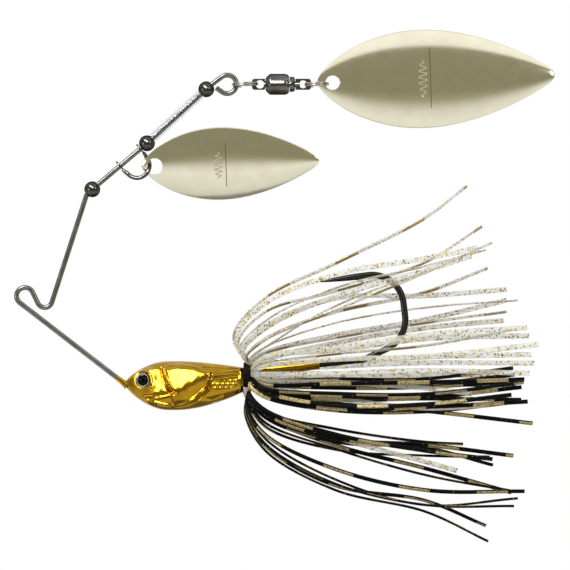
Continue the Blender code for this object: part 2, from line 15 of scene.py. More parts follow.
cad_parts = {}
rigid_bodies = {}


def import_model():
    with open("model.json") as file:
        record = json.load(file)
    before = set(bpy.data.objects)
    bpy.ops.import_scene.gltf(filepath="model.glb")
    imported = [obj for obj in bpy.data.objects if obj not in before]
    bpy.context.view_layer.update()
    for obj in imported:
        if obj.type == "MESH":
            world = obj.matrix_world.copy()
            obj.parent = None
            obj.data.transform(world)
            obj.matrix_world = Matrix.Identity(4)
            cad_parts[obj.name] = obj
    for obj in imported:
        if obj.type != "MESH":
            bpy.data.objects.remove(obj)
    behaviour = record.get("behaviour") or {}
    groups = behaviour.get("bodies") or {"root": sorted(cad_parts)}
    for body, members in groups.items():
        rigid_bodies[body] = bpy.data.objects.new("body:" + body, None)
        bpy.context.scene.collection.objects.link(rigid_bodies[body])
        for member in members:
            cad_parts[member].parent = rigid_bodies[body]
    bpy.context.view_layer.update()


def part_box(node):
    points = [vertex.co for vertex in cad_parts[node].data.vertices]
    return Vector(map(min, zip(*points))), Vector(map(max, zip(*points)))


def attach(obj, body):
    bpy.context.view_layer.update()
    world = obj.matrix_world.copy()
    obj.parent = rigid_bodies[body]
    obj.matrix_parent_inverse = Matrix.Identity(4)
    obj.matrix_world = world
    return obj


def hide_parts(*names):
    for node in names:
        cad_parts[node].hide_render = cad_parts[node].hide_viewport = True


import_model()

MM = 0.001
X_AXIS = Vector((1.0, 0.0, 0.0))
Y_AXIS = Vector((0.0, 1.0, 0.0))
Z_AXIS = Vector((0.0, 0.0, 1.0))


def at(x, z):
    """A place in the lure's middle plane."""
    return Vector((x, 0.0, z))


def node_centre(node):
    """The middle of a CAD node's box, in millimetres."""
    low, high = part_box(node)
    return 0.5 * (Vector(low) / MM + Vector(high) / MM)


class Nodes:
    """A node tree with short calls for adding nodes and linking them."""

    def __init__(self, tree):
        self.tree = tree

    def add(self, kind, links=(), **settings):
        node = self.tree.nodes.new(f"ShaderNode{kind}")
        for key, value in settings.items():
            if key in node.inputs:
                node.inputs[key].default_value = value
            else:
                setattr(node, key, value)
        for key, source in dict(links).items():
            self.tree.links.new(source, node.inputs[key])
        return node

    def ranged(self, source, low, high, start=0.0, end=1.0):
        """Carry the range from start to end over to the range from low to high."""
        node = self.add("MapRange", {"Value": source})
        for key, value in zip(("From Min", "From Max", "To Min", "To Max"),
                              (start, end, low, high)):
            node.inputs[key].default_value = value
        return node.outputs[0]

    def blended(self, factor, first, second):
        """Mix two colours, each a tuple or another node's output, by a factor."""
        node = self.add("Mix", data_type="RGBA")
        self.tree.links.new(factor, node.inputs["Factor"])
        for key, colour in (("A", first), ("B", second)):
            if isinstance(colour, tuple):
                node.inputs[key].default_value = (*colour, 1.0)
            else:
                self.tree.links.new(colour, node.inputs[key])
        return node.outputs["Result"]


# ---- camera, stage and light ----
VIEW_CENTRE = at(52.0, 2.2)
VIEW_WIDTH = 114.0
LENS = 200.0
SENSOR = 36.0
# The floor and the lights are placed in metres.
FLOOR_RADIUS = 0.07
FLOOR_PLACE = (0.052, 0.03, -0.088)
LIGHT_TARGET = at(0.052, 0.0)


def make_camera():
    camera_data = bpy.data.cameras.new("photo_camera")
    camera_data.lens = LENS
    camera_data.sensor_width = SENSOR
    camera_data.clip_end = 10.0
    camera = bpy.data.objects.new("photo_camera", camera_data)
    bpy.context.scene.collection.objects.link(camera)
    distance = VIEW_WIDTH * LENS / SENSOR
    camera.location = (VIEW_CENTRE - Y_AXIS * distance) * MM
    camera.rotation_euler = (math.radians(90.0), 0.0, 0.0)
    bpy.context.scene.camera = camera


def make_floor():
    """A grey round table top below the lure, low enough to stay under the front view."""
    bm = bmesh.new()
    bmesh.ops.create_circle(bm, cap_ends=True, segments=96, radius=FLOOR_RADIUS)
    mesh = bpy.data.meshes.new("floor")
    bm.to_mesh(mesh)
    bm.free()
    floor = bpy.data.objects.new("floor", mesh)
    bpy.context.scene.collection.objects.link(floor)
    floor.location = FLOOR_PLACE
    material = bpy.data.materials.new("floor_grey")
    material.use_nodes = True
    shader = material.node_tree.nodes["Principled BSDF"]
    shader.inputs["Base Color"].default_value = (0.26, 0.25, 0.24, 1.0)
    shader.inputs["Roughness"].default_value = 0.8
    mesh.materials.append(material)


# Brightness and tint of the tent by height: (place from the bottom to the top, value, tint).
WARM = (1.0, 0.96, 0.70)
WHITE = (1.0, 1.0, 1.0)
TENT_STOPS = [
    (0.0, 0.7, WHITE), (0.07, 0.9, WHITE), (0.19, 1.0, WHITE), (0.25, 0.85, WHITE),
    (0.34, 0.4, WARM), (0.4, 0.31, WARM), (0.6, 0.31, WARM), (0.79, 0.33, WARM),
    (0.805, 1.14, WHITE), (0.91, 1.22, WHITE), (0.94, 0.85, WHITE), (1.0, 0.9, WHITE),
]


def make_world():
    """A light tent: plain white to the camera and behind the lure. What the metal mirrors on
    the camera's side is bright at the top and at the bottom, with a dim warm band between."""
    world = bpy.data.worlds.new("light_tent")
    bpy.context.scene.world = world
    world.use_nodes = True
    nodes = Nodes(world.node_tree)
    nodes.tree.nodes.clear()
    coords = nodes.add("TexCoord").outputs["Generated"]
    split = nodes.add("SeparateXYZ", {0: coords})
    height = nodes.ranged(split.outputs["Z"], 0.0, 1.0, -1.0, 1.0)
    levels = nodes.add("ValToRGB", {0: height})
    ramp = levels.color_ramp
    while len(ramp.elements) < len(TENT_STOPS):
        ramp.elements.new(0.5)
    for element, (place, value, tint) in zip(ramp.elements, TENT_STOPS):
        element.position = place
        element.color = (*[value * part for part in tint], 1.0)
    rear = nodes.ranged(split.outputs["Y"], 0.0, 1.0, -0.25, 0.35)
    blend = nodes.blended(rear, levels.outputs[0], WHITE)
    tent = nodes.add("Background", {"Color": blend})
    backdrop = nodes.add("Background", Color=(*WHITE, 1.0))
    seen = nodes.add("LightPath").outputs["Is Camera Ray"]
    choose = nodes.add("MixShader",
                       {0: seen, 1: tent.outputs[0], 2: backdrop.outputs[0]})
    nodes.add("OutputWorld", {0: choose.outputs[0]})


def make_light(name, place, size, power, receivers=()):
    """A disc of light aimed at the lure; with receivers named, it lights only those pieces."""
    light_data = bpy.data.lights.new(name, "AREA")
    light_data.shape = "DISK"
    light_data.size = size
    light_data.energy = power
    light = bpy.data.objects.new(name, light_data)
    bpy.context.scene.collection.objects.link(light)
    light.location = place
    aim = LIGHT_TARGET - light.location
    light.rotation_euler = aim.to_track_quat("-Z", "Y").to_euler()
    if receivers:
        lit = bpy.data.collections.new(f"{name}_receivers")
        for receiver in receivers:
            lit.objects.link(bpy.data.objects[receiver])
        light.light_linking.receiver_collection = lit


bpy.context.scene.view_settings.view_transform = "Standard"
make_camera()
make_floor()
make_world()
make_light("fill", (0.45, -0.4, 0.2), size=0.3, power=0.6)
make_light("side", (-0.42, -0.32, -0.02), size=0.26, power=0.5)


# ---- mesh helpers ----
def add_piece(mesh, material, body, nodes=()):
    """Show a mesh as a piece of the same name that rides on a body and stands for CAD nodes."""
    piece = bpy.data.objects.new(mesh.name, mesh)
    bpy.context.scene.collection.objects.link(piece)
    mesh.materials.append(material)
    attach(piece, body)
    if nodes:
        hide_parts(*nodes)
    return piece


def mesh_from(name, bm, smooth_angle=40.0):
    """Turn a bmesh in millimetres into a mesh in metres with outward faces, and free it."""
    bmesh.ops.recalc_face_normals(bm, faces=bm.faces)
    bmesh.ops.scale(bm, vec=(MM, MM, MM), verts=bm.verts)
    mesh = bpy.data.meshes.new(name)
    bm.to_mesh(mesh)
    bm.free()
    mesh.shade_smooth()
    mesh.set_sharp_from_angle(angle=math.radians(smooth_angle))
    return mesh


def bridge(bm, rings, closed=False):
    """Join each ring of vertices to the next with faces; a ring of one vertex makes a fan."""
    pairs = list(zip(rings, rings[1:]))
    if closed:
        pairs.append((rings[-1], rings[0]))
    for first, second in pairs:
        count = max(len(first), len(second))
        for index in range(count):
            after = (index + 1) % count
            corners = (first[index % len(first)], second[index % len(second)],
                       second[after % len(second)], first[after % len(first)])
            bm.faces.new(list(dict.fromkeys(corners)))


def directions(points):
    """The direction of a path at each of its points, taken from the neighbours."""
    ends = [points[0], *points, points[-1]]
    return [(after - before).normalized() for before, after in zip(ends, ends[2:])]


def tube(bm, points, radii, sides=24):
    """Sweep a round section along points into a bmesh, with one radius or one for each point."""
    if isinstance(radii, float):
        radii = [radii] * len(points)
    tangents = directions(points)
    side = tangents[0].cross(Y_AXIS)
    if side.length < 0.2:
        side = tangents[0].cross(X_AXIS)
    side.normalize()
    rings = []
    for point, radius, tangent in zip(points, radii, tangents):
        side = (side - tangent * side.dot(tangent)).normalized()
        across = tangent.cross(side)
        ring = []
        for corner in range(sides):
            angle = 2.0 * math.pi * (corner + 0.5) / sides
            out = side * math.cos(angle) + across * math.sin(angle)
            ring.append(bm.verts.new(point + radius * out))
        rings.append(ring)
    bridge(bm, rings)
    bm.faces.new(rings[0])
    bm.faces.new(list(reversed(rings[-1])))


def wire_mesh(name, points, radii):
    bm = bmesh.new()
    tube(bm, points, radii)
    return mesh_from(name, bm, 50.0)


def turned(bm, profile, centre, axis, steps=64, closed=False):
    """Turn (radius, height) pairs about an axis through a centre into a bmesh."""
    placing = Matrix.Translation(centre) @ Z_AXIS.rotation_difference(axis).to_matrix().to_4x4()
    rings = []
    for radius, height in profile:
        ring = []
        for step in range(steps if radius > 1e-6 else 1):
            angle = 2.0 * math.pi * step / steps
            place = Vector((radius * math.cos(angle), radius * math.sin(angle), height))
            ring.append(bm.verts.new(placing @ place))
        rings.append(ring)
    bridge(bm, rings, closed)


def turned_mesh(name, profile, centre, axis, steps=64, closed=False, smooth_angle=30.0):
    bm = bmesh.new()
    turned(bm, profile, centre, axis, steps, closed)
    return mesh_from(name, bm, smooth_angle)


def rounded_profile(corners, radius, steps=4):
    """Round the corners of a profile of (radius, height) pairs."""
    points = []
    count = len(corners)
    for index, corner in enumerate(corners):
        here = Vector(corner)
        if index in (0, count - 1):
            points.append(here)
            continue
        before = Vector(corners[index - 1]) - here
        after = Vector(corners[index + 1]) - here
        cut = min(radius, 0.45 * before.length, 0.45 * after.length)
        start = here + before.normalized() * cut
        end = here + after.normalized() * cut
        for step in range(steps + 1):
            t = step / steps
            points.append((1 - t) ** 2 * start + 2 * t * (1 - t) * here + t ** 2 * end)
    return [(max(0.0, point.x), point.y) for point in points]


# ---- materials ----
class Finish(Nodes):
    """A Principled material with short calls for adding the nodes that vary it."""

    def __init__(self, name, **constants):
        self.material = bpy.data.materials.new(name)
        self.material.use_nodes = True
        super().__init__(self.material.node_tree)
        self.shader = self.tree.nodes["Principled BSDF"]
        for socket, value in constants.items():
            socket_name = socket.replace("_", " ")
            self.shader.inputs[socket_name].default_value = value
        self.object_coords = self.add("TexCoord").outputs["Object"]

    def set(self, socket, source):
        self.tree.links.new(source, self.shader.inputs[socket])

    def scaled(self, scale, stretch=(1.0, 1.0, 1.0)):
        """The place on the piece, so that a pattern has this many features per millimetre."""
        mapping = self.add("Mapping", {"Vector": self.object_coords})
        mapping.inputs["Scale"].default_value = [scale * part / MM for part in stretch]
        return mapping.outputs[0]

    def vector(self, operation, source, value=(0.0, 0.0, 0.0)):
        node = self.add("VectorMath", {0: source}, operation=operation)
        node.inputs[1].default_value = value
        return node.outputs["Value" if operation == "LENGTH" else "Vector"]

    def noise(self, scale, stretch=(1.0, 1.0, 1.0), detail=3.0):
        """Noise at a scale given in features per millimetre."""
        place = self.scaled(scale, stretch)
        return self.add("TexNoise", {0: place}, Scale=1.0, Detail=detail).outputs["Fac"]

    def maths(self, operation, first, second=0.0):
        node = self.add("Math", operation=operation)
        for index, value in enumerate((first, second)):
            if isinstance(value, (int, float)):
                node.inputs[index].default_value = value
            else:
                self.tree.links.new(value, node.inputs[index])
        return node.outputs[0]

    def times(self, first, second):
        return self.maths("MULTIPLY", first, second)

    def bump(self, source, strength, depth):
        """Relief from a height between 0 and 1; depth in millimetres."""
        node = self.add("Bump", {"Height": source}, Strength=strength)
        node.inputs["Distance"].default_value = depth * MM
        self.set("Normal", node.outputs[0])


def metal(name, colour, dark, roughness, grain, stretch=(1.0, 1.0, 1.0), relief=0.004, edge=1.0):
    """Plated or polished metal: two tints in patches, uneven gloss, fine polishing marks.

    The grain is marks per millimetre, the relief millimetres; edge scales the bright rim."""
    finish = Finish(name, Metallic=1.0)
    finish.shader.inputs["Specular Tint"].default_value = (edge, edge, edge, 1.0)
    patches = finish.noise(0.35, detail=2.0)
    patches = finish.ranged(patches, 0.0, 1.0, 0.3, 0.7)
    finish.set("Base Color", finish.blended(patches, colour, dark))
    marks = finish.noise(grain, stretch, detail=4.0)
    finish.set("Roughness", finish.ranged(marks, roughness[0], roughness[1], 0.3, 0.75))
    finish.bump(marks, 0.5, relief)
    return finish.material


def eye_foil_finish(name, centre, pupil, ring):
    """Black pupil and dark rim printed on crinkled holographic foil."""
    finish = Finish(name, Roughness=0.22, Specular_IOR_Level=0.0)
    offset = finish.vector("SUBTRACT", finish.object_coords, centre * MM)
    radius = finish.vector("LENGTH", finish.vector("MULTIPLY", offset, (1.0, 0.0, 1.0)))
    inside = finish.ranged(radius, 0.0, 1.0, (pupil - 0.03) * MM, (pupil + 0.03) * MM)
    outside = finish.ranged(radius, 1.0, 0.0, (ring - 0.06) * MM, (ring + 0.02) * MM)
    silver = finish.times(inside, outside)
    crinkle = finish.times(finish.noise(5.0, detail=1.0), silver)
    foil = finish.blended(crinkle, (0.5, 0.52, 0.63), (0.78, 0.77, 0.82))
    finish.set("Base Color", finish.blended(silver, (0.006, 0.006, 0.006), foil))
    finish.set("Metallic", finish.times(silver, 0.6))
    finish.bump(crinkle, 0.4, 0.01)
    return finish.material


def clear_finish(name, colour, roughness, ior):
    """Clear plastic with faint flow lines."""
    finish = Finish(name, Base_Color=(*colour, 1.0), IOR=ior)
    finish.shader.inputs["Transmission Weight"].default_value = 1.0
    streaks = finish.noise(1.5, detail=2.0)
    finish.set("Roughness", finish.ranged(streaks, roughness[0], roughness[1]))
    return finish.material


def rubber_finish(name, colour):
    finish = Finish(name, Specular_IOR_Level=0.06)
    mottle = finish.noise(3.0, detail=3.0)
    lighter = tuple(part * 1.8 for part in colour)
    finish.set("Base Color", finish.blended(mottle, colour, lighter))
    finish.set("Roughness", finish.ranged(mottle, 0.45, 0.7))
    finish.bump(mottle, 0.4, 0.02)
    return finish.material


STAINLESS = metal("stainless_wire", (0.27, 0.26, 0.24), (0.17, 0.16, 0.145),
                  (0.2, 0.34), 2.0, relief=0.001, edge=0.0)
GUNMETAL = metal("hook_gunmetal", (0.062, 0.058, 0.054), (0.036, 0.033, 0.03),
                 (0.2, 0.38), 1.6, edge=0.0)
BLACK_NICKEL = metal("bead_black_nickel", (0.1, 0.095, 0.09), (0.06, 0.055, 0.05),
                     (0.03, 0.08), 1.2, relief=0.001, edge=0.0)
NICKEL = metal("swivel_nickel_plate", (0.19, 0.18, 0.17), (0.1, 0.095, 0.085),
               (0.06, 0.14), 2.5, edge=0.0)
RING_STEEL = metal("ring_bright_steel", (0.5, 0.49, 0.47), (0.3, 0.29, 0.27), (0.08, 0.16), 2.5)
GOLD = metal("head_gold_plate", (0.5, 0.29, 0.02), (0.36, 0.2, 0.012), (0.1, 0.2), 1.1,
             relief=0.03)
CHAMPAGNE = metal("blade_champagne", (0.80, 0.765, 0.60), (0.76, 0.72, 0.545), (0.1, 0.17), 1.4,
                  stretch=(0.25, 1, 1.6), relief=0.0012, edge=0.25)
MARK = metal("blade_engraving", (0.2, 0.16, 0.09), (0.14, 0.11, 0.06), (0.3, 0.5), 3.0)
VINYL = clear_finish("sleeve_clear_vinyl", (0.85, 0.86, 0.88), (0.0, 0.03), 1.4)
LENS_RESIN = clear_finish("eye_clear_resin", (1.0, 1.0, 1.0), (0.0, 0.02), 1.2)
RUBBER = rubber_finish("collar_black_rubber", (0.004, 0.004, 0.004))


# ---- wire form ----
NOSE = at(19.9, -17.5)
ARM_CORNER = at(12.4, 20.45)
MIDDLE_BEAD = node_centre("middle_bead")
UPPER_BEAD = node_centre("upper_bead")
ARM = (MIDDLE_BEAD - ARM_CORNER).normalized()
SLEEVE_AXIS = (UPPER_BEAD - MIDDLE_BEAD).normalized()
CHAIN_HEIGHT = node_centre("front_ring").z
WIRE_RADIUS = 0.5
HOOK_RADIUS = 0.65


def arc(centre, radius, start, end, steps):
    """Points of an arc in the XZ plane; angles in degrees, from +X towards +Z."""
    points = []
    for index in range(steps + 1):
        angle = math.radians(start + (end - start) * index / steps)
        points.append(centre + radius * at(math.cos(angle), math.sin(angle)))
    return points


def bent_route(corners, turn_step=5.0, run_step=2.0):
    """A wire bent at corners: each corner is a point and the centreline radius there."""
    route = [corners[0][0]]

    def run_to(point):
        start = route[-1]
        steps = max(1, round((point - start).length / run_step))
        for index in range(1, steps + 1):
            route.append(start.lerp(point, index / steps))

    for (before, _), (corner, radius), (after, _) in zip(corners, corners[1:], corners[2:]):
        incoming = (corner - before).normalized()
        outgoing = (after - corner).normalized()
        turn = incoming.angle(outgoing)
        start = corner - incoming * radius * math.tan(turn / 2.0)
        normal = incoming.cross(outgoing).normalized()
        centre = start + normal.cross(incoming) * radius
        run_to(start)
        steps = max(2, round(math.degrees(turn) / turn_step))
        for index in range(1, steps + 1):
            spin = Matrix.Rotation(turn * index / steps, 3, normal)
            route.append(centre + spin @ (start - centre))
    run_to(corners[-1][0])
    return route


def wire_route():
    """The wire that shows: nose, line tie, return bend, leg, arm and teardrop eye."""
    leg_angle = -38.2
    tie_radius = 1.7
    return_centre = at(3.95, -0.8)
    return_radius = 1.5
    crossing = math.degrees(
        math.atan2(return_centre.z, return_centre.x)
        - math.asin((tie_radius + return_radius) / return_centre.length)
    )
    tie = arc(Vector(), tie_radius, leg_angle - 90.0, crossing - 270.0, 48)
    route = bent_route([(at(22.0, -18.0), 0.0), (NOSE, 4.0), (tie[0], 0.0)])[:-1]
    route += tie + arc(return_centre, return_radius, crossing - 90.0, -17.9, 28)
    route += bent_route([
        (route[-1], 0.0), (ARM_CORNER, 1.5), (MIDDLE_BEAD, 20.0), (UPPER_BEAD, 0.0),
    ])[1:]
    eye_centre = at(40.45, CHAIN_HEIGHT)
    eye_radius = 1.85
    entry = UPPER_BEAD + SLEEVE_AXIS * 1.5
    reach = eye_centre - entry
    lean = math.degrees(math.asin(eye_radius / reach.length))
    heading = math.degrees(math.atan2(reach.z, reach.x))
    round_part = arc(eye_centre, eye_radius, heading + lean + 90.0, heading - lean - 90.0, 56)
    back = (round_part[-1] - round_part[-2]).normalized()
    tail = round_part[-1] + back * 1.35
    return route + [entry, 0.5 * (entry + round_part[0])] + round_part + [tail]


def build_wire():
    """The whole wire form, and the plating that runs a little way up it from the head."""
    mesh = wire_mesh("wire_form_fine", wire_route(), WIRE_RADIUS)
    add_piece(mesh, STAINLESS, "frame", ["wire_form"])
    leg = (at(-1.05, -1.34) - NOSE).normalized()
    points = [NOSE - leg * 0.8 + leg * step * 0.35 for step in range(9)]
    radii = [0.86, 0.78, 0.7, 0.64, 0.6, 0.575, 0.565, 0.56, 0.515]
    add_piece(wire_mesh("nose_plating", points, radii), GOLD, "frame")


# ---- hook ----
SHANK_HEEL = at(67.8, -12.7)
SHANK_SLOPE = 0.1034
HOOK_POINT = at(58.4, 2.8)


def shank_point(x):
    return at(x, SHANK_HEEL.z + (x - SHANK_HEEL.x) * SHANK_SLOPE)


def build_hook():
    """The bent wire of the hook, tapered to its point, with a barb under the spear."""
    route = bent_route([
        (shank_point(44.0), 0.0), (SHANK_HEEL, 4.0), (at(76.6, -8.6), 6.5),
        (at(74.9, 5.02), 6.3), (HOOK_POINT, 0.0),
    ], run_step=0.6)
    radii = []
    taper_length = 7.0
    for point in route:
        reach = (point - HOOK_POINT).length
        on_spear = point.z > 0.0 and reach < taper_length
        taper = (reach / taper_length) ** 0.62 if on_spear else 1.0
        radii.append(HOOK_RADIUS * max(0.05, taper))
    bm = bmesh.new()
    tube(bm, route, radii)
    spear = (HOOK_POINT - route[-2]).normalized()
    root = HOOK_POINT - spear * 7.4 + at(0.0, -0.1)
    tip = HOOK_POINT - spear * 9.6 + at(0.0, -1.55)
    barb = [root.lerp(tip, t) + Z_AXIS * (0.45 * t * (1.0 - t)) for t in (0, 0.25, 0.5, 0.75, 1.0)]
    tube(bm, barb, [0.42, 0.34, 0.25, 0.15, 0.03], 16)
    add_piece(mesh_from("hook_fine", bm, 60.0), GUNMETAL, "frame", ["hook"])


# ---- beads, sleeve and clevis ----
BEAD_RADIUS = 1.6
BEAD_BORE = 0.62


def build_beads_and_sleeve():
    edge = math.acos((BEAD_BORE + 0.08) / BEAD_RADIUS)
    ball = []
    for index in range(41):
        angle = edge - 2.0 * edge * index / 40
        ball.append((BEAD_RADIUS * math.cos(angle), BEAD_RADIUS * math.sin(angle)))
    bead_face = ball[0][1]
    ball += [(BEAD_BORE, 0.06 - bead_face), (BEAD_BORE, bead_face - 0.06)]
    for node, axis in (("lower_bead", ARM), ("middle_bead", ARM), ("upper_bead", SLEEVE_AXIS)):
        mesh = turned_mesh(f"{node}_fine", ball, node_centre(node), axis, 72, True, 50.0)
        add_piece(mesh, BLACK_NICKEL, node, [node])
    half = 0.5 * (UPPER_BEAD - MIDDLE_BEAD).length - bead_face - 0.12
    wall = [(0.88, half), (0.97, half), (1.0, half - 0.04), (1.0, 0.04 - half), (0.97, -half),
            (0.88, -half)]
    middle = 0.5 * (MIDDLE_BEAD + UPPER_BEAD)
    mesh = turned_mesh("clear_sleeve_fine", wall, middle, SLEEVE_AXIS, closed=True)
    add_piece(mesh, VINYL, "clear_sleeve", ["clear_sleeve"])


ARM_SIDE = at(ARM.z, -ARM.x)
CLEVIS_UPPER_EAR = MIDDLE_BEAD - ARM * 1.74
CLEVIS_LOWER_EAR = CLEVIS_UPPER_EAR - ARM * 5.3


def build_clevis():
    """Two washers on the arm and a stirrup that threads through the small blade's hole."""
    bow_centre = 0.5 * (CLEVIS_UPPER_EAR + CLEVIS_LOWER_EAR) + ARM_SIDE * 2.2
    bow_radius = 2.45
    step_aside = 0.98
    step_length = 0.62
    arm_angle = math.atan2(ARM.z, ARM.x)
    crossing = math.radians(-3.0)
    ends = [ARM_SIDE * 0.95 + Y_AXIS * 0.7, ARM_SIDE * 1.4 + Y_AXIS * 0.85]
    points = [CLEVIS_UPPER_EAR + end for end in ends]
    for index in range(81):
        angle = arm_angle - math.pi * index / 80
        sideways = step_aside * math.tanh((angle - crossing) * bow_radius / step_length)
        out = at(math.cos(angle), math.sin(angle))
        points.append(bow_centre + out * bow_radius + Y_AXIS * sideways)
    points += [CLEVIS_LOWER_EAR + end - 2.0 * end.y * Y_AXIS for end in reversed(ends)]
    bm = bmesh.new()
    radii = [0.3, 0.38] + [0.425] * 81 + [0.38, 0.3]
    tube(bm, points, radii)
    washer = [(0.64, 0.17), (1.1, 0.17), (1.2, 0.09), (1.2, -0.09), (1.1, -0.17), (0.64, -0.17)]
    for ear in (CLEVIS_UPPER_EAR, CLEVIS_LOWER_EAR):
        turned(bm, washer, ear, ARM, 48, closed=True)
    add_piece(mesh_from("clevis_fine", bm), NICKEL, "clevis", ["clevis"])


# ---- blades ----
def willow_half_width(share):
    """Half of a willow blade's width over its greatest half width, at a share of its length."""
    return math.sin(math.pi * min(1.0, max(0.0, share)) ** 0.833) ** 0.78


class Blade:
    """A willow leaf dished towards the front: its place, its middle surface and its mesh."""

    thickness = 0.4
    tip_radius = 0.9
    dish = 0.22
    mark_share = 0.475
    mark_waves = 6.0

    def __init__(self, node, end, tilt, roll, length, width, hole, hole_radius):
        self.node = node
        self.length = length
        self.width = width
        self.hole = hole
        self.hole_radius = hole_radius
        turn = Matrix.Rotation(math.radians(-tilt), 4, "Y")
        self.placing = Matrix.Translation(end) @ turn @ Matrix.Rotation(math.radians(roll), 4, "X")

    def half_width(self, share):
        """Half the plate's width, with the leaf's far point rounded off."""
        from_tip = min(1.0, max(0.0, (1.0 - share) * self.length / self.tip_radius))
        rounding = math.sqrt(1.0 - (1.0 - from_tip) ** 2)
        return 0.5 * self.width * willow_half_width(0.985 * share) * rounding

    def surface(self, share, across):
        """A point halfway through the plate; across runs from -1 to 1."""
        half = self.half_width(share)
        return Vector((share * self.length, -self.dish * half * (1.0 - across ** 2), half * across))

    def front(self, share, across):
        """A point on the front face, in the lure's frame."""
        step = 1e-3
        along = self.surface(share + step, across) - self.surface(share - step, across)
        side = self.surface(share, across + step) - self.surface(share, across - step)
        normal = side.cross(along).normalized()
        if normal.y > 0.0:
            normal = -normal
        return self.placing @ (self.surface(share, across) + normal * 0.5 * self.thickness)

    def build(self, columns=220, rows=80):
        """Two sheets that meet along the rims, with rounded edges, closed at both ends."""
        half_plate = 0.5 * self.thickness
        bm = bmesh.new()
        sheets = ([], [])
        for column in range(columns + 1):
            share = 0.5 * (1.0 - math.cos(math.pi * (0.004 + 0.992 * column / columns)))
            lines = ([], [])
            for row in range(rows + 1):
                across = math.sin(0.5 * math.pi * (2.0 * row / rows - 1.0))
                middle = self.placing @ self.surface(share, across)
                face = self.front(share, across)
                from_rim = self.half_width(share) * (1.0 - abs(across))
                from_end = self.length * min(share, 1.0 - share)
                inset = min(1.0, max(0.0, min(from_rim, from_end) / half_plate))
                rounding = math.sqrt(1.0 - (1.0 - inset) ** 2)
                offset = (face - middle) * rounding
                lines[0].append(bm.verts.new(middle + offset))
                at_rim = row in (0, rows)
                lines[1].append(lines[0][-1] if at_rim else bm.verts.new(middle - offset))
            sheets[0].append(lines[0])
            sheets[1].append(lines[1])
        for sheet in sheets:
            for first, second in zip(sheet, sheet[1:]):
                for row in range(rows):
                    bm.faces.new((first[row], first[row + 1], second[row + 1], second[row]))
        for column in (0, columns):
            front, back = sheets[0][column], sheets[1][column]
            for row in range(rows):
                corners = (front[row], front[row + 1], back[row + 1], back[row])
                bm.faces.new(list(dict.fromkeys(corners)))
        mesh = mesh_from(f"{self.node}_fine", bm, 60.0)
        blade = add_piece(mesh, CHAMPAGNE, self.node, [self.node])
        drill(blade, self.hole, self.hole_radius)

    def engrave(self):
        """A plain line across the plate with a waved flourish beside it."""
        straight = [(self.mark_share, -0.6 + 0.06 * step) for step in range(21)]
        waved = []
        for step in range(121):
            t = step / 120
            swing = 0.85 * math.sin(math.pi * t) ** 0.5
            reach = 1.5 + swing * math.sin(2.0 * math.pi * self.mark_waves * t)
            waved.append((self.mark_share - reach / self.length, -0.38 + 0.74 * t))
        for stroke, radius, finish, suffix in ((straight, 0.08, MARK, "line"),
                                               (waved, 0.1, CHAMPAGNE, "flourish")):
            bm = bmesh.new()
            tube(bm, [self.front(*place) for place in stroke], radius, 8)
            mesh = mesh_from(f"{self.node}_mark_{suffix}", bm, 60.0)
            add_piece(mesh, finish, self.node)


def drill(piece, centre, radius):
    """Cut a round hole along Y through a piece's mesh."""
    profile = [(0.0, 6.0), (radius, 6.0), (radius, -6.0), (0.0, -6.0)]
    cutter_mesh = turned_mesh("drill", profile, centre, Y_AXIS, steps=72)
    cutter = bpy.data.objects.new("drill", cutter_mesh)
    bpy.context.scene.collection.objects.link(cutter)
    cut = piece.modifiers.new("hole", "BOOLEAN")
    cut.operation = "DIFFERENCE"
    cut.solver = "EXACT"
    cut.object = cutter
    bpy.context.view_layer.update()
    evaluated = piece.evaluated_get(bpy.context.evaluated_depsgraph_get())
    mesh = bpy.data.meshes.new_from_object(evaluated)
    piece.modifiers.clear()
    old = piece.data
    piece.data = mesh
    mesh.name = f"{piece.name}_drilled"
    bpy.data.meshes.remove(old)
    bpy.data.objects.remove(cutter)
    bpy.data.meshes.remove(cutter_mesh)


def build_blades():
    for blade in (
        Blade("small_blade", at(23.4, 26.0), tilt=1.8, roll=15.0, length=35.4, width=14.8,
              hole=at(25.95, 25.9), hole_radius=1.6),
        Blade("large_blade", at(58.5, 42.8), tilt=1.7, roll=0.0, length=47.4, width=19.6,
              hole=at(61.5, 42.6), hole_radius=1.43),
    ):
        blade.build()
        blade.engrave()


# ---- rings and swivel ----
RING_WIRE_RADIUS = 0.17
RING_PITCH = 0.36


def build_rings():
    """Split rings: flat coils of nearly two turns, lying across the lure."""
    for node, body, centre_x, radius in (
        ("front_ring", "front_ring", 44.0, 2.55),
        ("rear_split_ring", "rear_ring", 58.35, 2.35),
    ):
        helix = []
        for index in range(161):
            turn = 1.9 * (index / 160 - 0.5)
            angle = 2.0 * math.pi * turn + 0.5 * math.pi
            helix.append(Vector((centre_x + radius * math.cos(angle), radius * math.sin(angle),
                                 CHAIN_HEIGHT + RING_PITCH * turn)))
        mesh = wire_mesh(f"{node}_fine", helix, RING_WIRE_RADIUS)
        add_piece(mesh, RING_STEEL, body, [node])


TAB_HALF_THICKNESS = 0.275
BALL_RADIUS = 0.42


